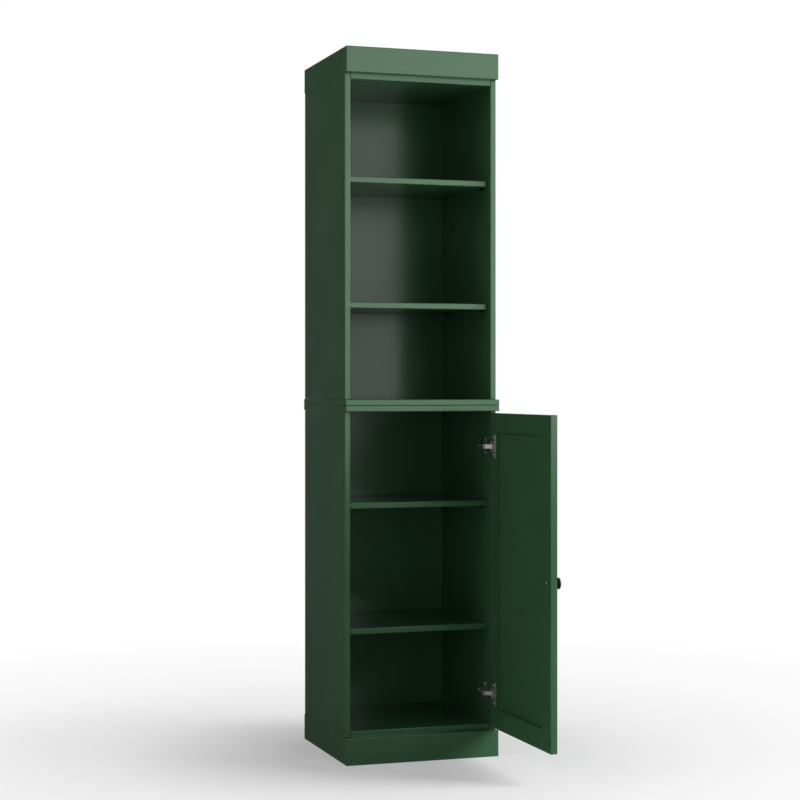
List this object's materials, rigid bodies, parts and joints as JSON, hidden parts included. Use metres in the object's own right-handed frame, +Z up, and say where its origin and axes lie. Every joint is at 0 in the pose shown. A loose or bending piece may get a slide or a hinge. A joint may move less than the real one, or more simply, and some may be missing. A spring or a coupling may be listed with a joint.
{
  "type": "tall cabinet",
  "caption": "Tall narrow cabinet in stacked cases: open shelves above, a framed right-hung door on concealed hinges below, with a flat cornice, a middle band and a plinth.",
  "frame": {"origin": "on the floor, at the middle of the case's back", "axes": "+Z up, front of the cabinet towards -Y, +X to the right as seen from the front"},
  "size_m": [0.4251, 0.7778, 1.8],
  "materials": {
    "board_paint": "satin dark green paint",
    "back_paint": "satin dark green paint",
    "bare_wood": "bare planed wood",
    "plated_steel": "bright nickel plate",
    "dark_steel": "blackened steel",
    "knob_black": "satin black",
    "clear_dot": "translucent soft dot"
  },
  "bodies": {
    "carcass": {"back_nails": "plated_steel", "cam_bolts": "plated_steel", "cam_discs": "plated_steel", "case_dowels": "bare_wood", "case_screws": "plated_steel", "cornice_blocks": "bare_wood", "cornice_front": "board_paint", "cornice_screws": "plated_steel", "cornice_side_left": "board_paint", "cornice_side_right": "board_paint", "hinge_arm_lower": "plated_steel", "hinge_arm_pins": "plated_steel", "hinge_arm_screws": "plated_steel", "hinge_arm_upper": "plated_steel", "hinge_plate_lower": "plated_steel", "hinge_plate_screws": "plated_steel", "hinge_plate_upper": "plated_steel", "joining_plate_screws": "plated_steel", "joining_plates": "plated_steel", "lower_back_panel": "back_paint", "lower_floor_board": "board_paint", "lower_shelf_high": "board_paint", "lower_shelf_low": "board_paint", "lower_side_left": "board_paint", "lower_side_right": "board_paint", "lower_top_board": "board_paint", "plinth_back": "board_paint", "plinth_blocks": "bare_wood", "plinth_front": "board_paint", "plinth_screws": "plated_steel", "plinth_side_left": "board_paint", "plinth_side_right": "board_paint", "shelf_pins": "dark_steel", "stacking_dowels": "bare_wood", "upper_back_panel": "back_paint", "upper_base_board": "board_paint", "upper_shelf_high": "board_paint", "upper_shelf_low": "board_paint", "upper_side_left": "board_paint", "upper_side_right": "board_paint", "upper_top_panel": "board_paint", "wall_bracket_left": "plated_steel", "wall_bracket_right": "plated_steel", "wall_bracket_screws": "plated_steel"},
    "hinge_links": {"hinge_link_lower": "plated_steel", "hinge_link_upper": "plated_steel"},
    "door": {"door_bottom_rail": "board_paint", "door_bumpers": "clear_dot", "door_hinge_stile": "board_paint", "door_latch_stile": "board_paint", "door_panel": "board_paint", "door_top_rail": "board_paint", "hinge_cup_lower": "plated_steel", "hinge_cup_pins": "plated_steel", "hinge_cup_screws": "plated_steel", "hinge_cup_upper": "plated_steel", "knob": "knob_black", "knob_screw": "plated_steel"}
  },
  "joints": [
    {"name": "hinge_link_swing", "type": "hinge", "parent": "carcass", "child": "hinge_links", "pos_m": [0.1672, -0.3791, 0], "axis": [0, 0, 1], "range_deg": [-5, 30]},
    {"name": "door_swing", "type": "hinge", "parent": "hinge_links", "child": "door", "pos_m": [0.18701, -0.38799, 0], "axis": [0, 0, 1], "range_deg": [-120, 20]}
  ],
  "couplings": [
    {"joint": "hinge_link_swing", "follows": "door_swing", "ratio": -0.25}
  ]
}
